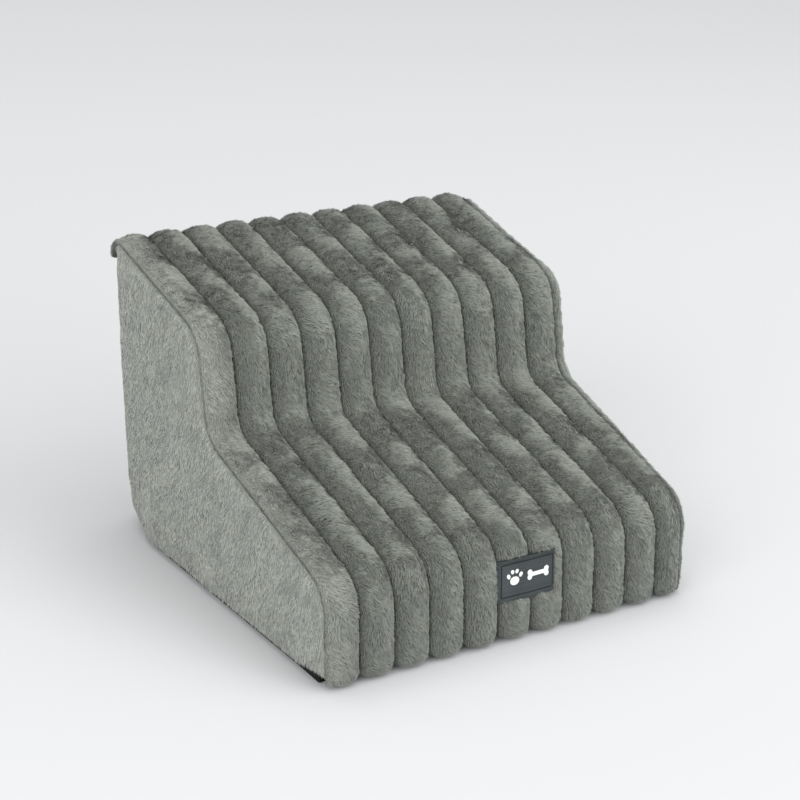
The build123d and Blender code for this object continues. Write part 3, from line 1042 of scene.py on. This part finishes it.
def padded_wall(node_name, seed):
    """One plain plush panel: blown up from its CAD slab, then grown with short pile."""
    piece = remeshed(merged_copy(node_name, f"plush_{node_name}"), wall_voxel)
    points, normals = coordinates(piece.data), directions(piece.data)
    shares = outward_shares(points, normals)
    put_points(piece, points - normals * wall_start * np.clip(shares, 0, 1)[:, None])
    points = inflate(piece, shares < -0.5, wall_pressure, wall_swell)
    put_points(piece, lifted_hem(points))
    piece.vertex_groups.clear()
    soften = piece.modifiers.new("soften", "SMOOTH")
    soften.iterations = 8
    soften.factor = 0.5
    baked(piece)
    points, normals = coordinates(piece.data), directions(piece.data)
    shares = outward_shares(points, normals)
    put_points(piece, settled(points))
    points = coordinates(piece.data)
    lean = np.array([noise.noise(Vector(point) / (30 * mm)) for point in points]) * 0.6
    lay = np.stack((np.sin(lean) * np.abs(normals[:, 1]), np.sin(lean) * -1, -np.cos(lean)), 1)
    store(piece, "pile", np.clip(shares * 4 + 1.6, 0, 1))
    rim = np.clip(0.6 + 0.6 * shares, 0.5, 1)
    # Painted shade: faces that don't face outward, such as the rims, are painted a little darker.
    store(piece, "painted_shade", 0.12 * np.clip(1 - 1.6 * shares, 0, 1))
    store(piece, "pile_length", np.clip(points[:, 2] / wall_pile_height, 0.3, 1) * rim)
    store(piece, "lay", lay, "FLOAT_VECTOR")
    smooth(piece)
    run_nodes(piece, pile_nodes, {**side_pile, "Seed": seed})
    stands_for(piece, node_name)


for number, node_name in enumerate(
    ("left_side_panel", "right_side_panel", "back_panel_upper", "back_panel_lower")
):
    padded_wall(node_name, 41 + number)

# ------------------------------------------------------------------ turned-up edge of the base

edge_height = 12 * mm
edge_inset = 3.6 * mm
edge_thickness = 0.9 * mm
edge_step = 8 * mm
edge_front_gap = 10 * mm
edge_back_gap = 26 * mm
edge_waver = 0.8 * mm
edge_slope = 0.4 * mm


def turned_edge(name, side):
    """The black cloth of the base turned up a little way inside one wall's hem."""
    low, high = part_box("base_binding")
    outer = low.x if side < 0 else high.x
    stations = np.arange(low.y + edge_front_gap, high.y - edge_back_gap, edge_step)
    points, faces = [], []
    for y in stations:
        top = edge_height + edge_waver * wander(y, 55 + side, 14 * mm)
        for inset, z in (
            (edge_inset, 0.5 * floor_gap),
            (edge_inset, 0.5 * top),
            (edge_inset + edge_slope, top),
            (edge_inset + edge_slope + edge_thickness, top),
            (edge_inset + edge_thickness, 0.5 * top),
            (edge_inset + edge_thickness, 0.5 * floor_gap),
        ):
            points.append((outer - side * inset, y, z))
    for row in range(len(stations) - 1):
        for step in range(6):
            near, ahead = row * 6 + step, row * 6 + 6 + step
            following = (step + 1) % 6
            faces.append((near, ahead, ahead + following - step, near + following - step))
    faces.append(tuple(range(6)))
    faces.append(tuple((len(stations) - 1) * 6 + step for step in reversed(range(6))))
    if side > 0:
        faces = [face[::-1] for face in faces]
    piece = new_mesh_object(name, settled(points), faces)
    smooth(piece)
    finish_with(piece, binding_black)
    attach(piece, "ramp")


turned_edge("turned_edge_left", -1)
turned_edge("turned_edge_right", 1)

# ------------------------------------------------------------------ label

run_samples = np.linspace(0, lower_nose_height * 1.6, 500)
run_points = np.array([channel_run.at(distance)[0] for distance in run_samples])
label_end = 7 * mm
label_end_drop = 2.4 * mm
label_stretch = 1.05
recess_depth = 0.13 * mm
label_rise = 0.5 * mm
label_rise_width = 9 * mm
label_top = 1.8 * mm


def label_piece(node_name, name, voxel, material, widen=1.0):
    """A layer of the label, pressed flat into the two channels that it is sewn across."""
    piece = remeshed(merged_copy(node_name, name), voxel)
    points = coordinates(piece.data)
    middle = (label_low.x + label_high.x) / 2
    half = (label_high.x - label_low.x) / 2
    flat = points[:, 1:]
    label_foot = int(np.argmin(np.abs(run_points[:, 1] - label_low.z)))
    nearest = np.array([np.argmin(((run_points - place) ** 2).sum(1)) for place in flat])
    level = np.linalg.norm(flat - run_points[nearest], axis=1)
    share = np.clip((np.abs(points[:, 0] - middle) - (half - label_end)) / label_end, 0, 1)
    level_now = level - (channel_crown - label_level) - label_end_drop * share**2
    level_now += label_rise * np.exp(-(((points[:, 0] - middle) / label_rise_width) ** 2))
    foot_place = run_samples[label_foot]
    height = foot_place + (run_samples[nearest] - foot_place) * label_stretch
    placed = front_foot + np.outer(height, front_along)
    placed += np.outer(level_now, front_out)
    x = middle + (points[:, 0] - middle) * widen
    put_points(piece, np.column_stack((x, placed)))
    # Painted shade: faces lying below the label's top are marked to be painted near black.
    level_top = channel_crown + label_top
    store(piece, "painted_recess_shade", np.clip((level_top - level) / recess_depth - 1, 0, 1))
    smooth(piece)
    finish_with(piece, material)
    stands_for(piece, node_name)


label_piece("label_patch", "rubber_label", 0.3 * mm, label_slate)
label_piece("label_emblem", "label_paw_and_bone", 0.25 * mm, label_white, 1.06)

# ------------------------------------------------------------------ zip coil

coil_pitch = 1.7 * mm


def coil_tree():
    """Geometry Nodes that set one coil loop after another along a line."""
    tree = bpy.data.node_groups.new("zip_coil", "GeometryNodeTree")
    for name, kind in (
        ("Count", "NodeSocketInt"),
        ("Start", "NodeSocketVector"),
        ("Pitch", "NodeSocketVector"),
        ("Loop width", "NodeSocketFloat"),
        ("Wire", "NodeSocketFloat"),
        ("Tilt", "NodeSocketFloat"),
        ("Material", "NodeSocketMaterial"),
    ):
        tree.interface.new_socket(name, in_out="INPUT", socket_type=kind)
    tree.interface.new_socket("Geometry", in_out="OUTPUT", socket_type="NodeSocketGeometry")
    given = tree.nodes.new("NodeGroupInput").outputs
    line = add_node(
        tree,
        "GeometryNodeMeshLine",
        {"mode": "OFFSET"},
        {"Count": given["Count"], "Start Location": given["Start"], "Offset": given["Pitch"]},
    )
    loop = add_node(
        tree,
        "GeometryNodeCurvePrimitiveCircle",
        {"Resolution": 8},
        {"Radius": given["Loop width"]},
    )
    wire = add_node(
        tree, "GeometryNodeCurvePrimitiveCircle", {"Resolution": 4}, {"Radius": given["Wire"]}
    )
    thick = add_node(
        tree,
        "GeometryNodeCurveToMesh",
        links={"Curve": loop.outputs[0], "Profile Curve": wire.outputs[0]},
    )
    turn = add_node(tree, "ShaderNodeCombineXYZ", {"Y": math.radians(90)}, {"Z": given["Tilt"]})
    set_down = add_node(
        tree,
        "GeometryNodeInstanceOnPoints",
        {"Scale": (0.75, 1.0, 1.0)},
        {"Points": line.outputs[0], "Instance": thick.outputs[0], "Rotation": turn.outputs[0]},
    )
    real = add_node(tree, "GeometryNodeRealizeInstances", links={0: set_down.outputs[0]})
    coated = add_node(
        tree,
        "GeometryNodeSetMaterial",
        links={"Geometry": real.outputs[0], "Material": given["Material"]},
    )
    add_node(tree, "NodeGroupOutput", links={0: coated.outputs[0]})
    return tree


coil_nodes = coil_tree()
for side, tilt in (("upper", 0.3), ("lower", -0.3)):
    low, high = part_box(f"zip_coil_{side}")
    middle = (low + high) / 2
    coil = new_mesh_object(f"nylon_coil_{side}", [(0, 0, 0)], [])
    run_nodes(
        coil,
        coil_nodes,
        {
            "Count": int((high.x - low.x) / coil_pitch),
            "Start": (low.x + coil_pitch / 2, middle.y, middle.z),
            "Pitch": (coil_pitch, 0, 0),
            "Loop width": 0.85 * mm,
            "Wire": 0.3 * mm,
            "Tilt": tilt,
            "Material": coil_nylon,
        },
    )
    smooth(coil)
    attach(coil, "ramp")
    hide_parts(f"zip_coil_{side}")

# ------------------------------------------------------------------ room and light


def make_room():
    """A pale floor, large soft lights left, right, above and in front, and a pale sky."""
    size = 12.0
    corners = [(-size, -size, 0), (size, -size, 0), (size, size, 0), (-size, size, 0)]
    floor = new_mesh_object("floor", corners, [(0, 1, 2, 3)])
    material, tree, shader = new_material("studio_floor", {"Roughness": 0.75})
    # Painted shade and light: the floor is painted darker round the ramp and paler far away from
    # it.
    away = add_node(
        tree, "ShaderNodeVectorMath", {"operation": "LENGTH"}, {0: object_point(tree)}
    ).outputs["Value"]
    body = ramp(
        tree,
        add_node(tree, "ShaderNodeMath", {"operation": "MULTIPLY", 1: 0.25}, {0: away}).outputs[0],
        [(0.12, colour("#cbcccd")), (0.9, colour("#e4e5e6"))],
    )
    tree.links.new(body, shader.inputs["Base Color"])
    shader.inputs["Specular IOR Level"].default_value = 0.2
    finish_with(floor, material)
    for name, place, power, width in (
        ("left_light", (-2.8, -1.4, 2.0), 59, 2.2),
        ("right_light", (1.9, -1.9, 2.6), 48, 3.0),
        ("top_light", (0.2, 0.6, 3.2), 34, 2.6),
        ("front_light", (1.0, -3.2, 1.0), 50, 2.0),
    ):
        light = bpy.data.objects.new(name, bpy.data.lights.new(name, "AREA"))
        light.data.energy = power
        light.data.size = width
        light.location = place
        aim = Vector((0, 0, 0.12)) - Vector(place)
        light.rotation_euler = aim.to_track_quat("-Z", "Y").to_euler()
        bpy.context.scene.collection.objects.link(light)
    world = bpy.data.worlds.new("studio")
    world.use_nodes = True
    world.node_tree.nodes["Background"].inputs["Color"].default_value = colour("#f5f6f7")
    world.node_tree.nodes["Background"].inputs["Strength"].default_value = 0.75
    bpy.context.scene.world = world
    bpy.context.scene.view_settings.view_transform = "Standard"


make_room()
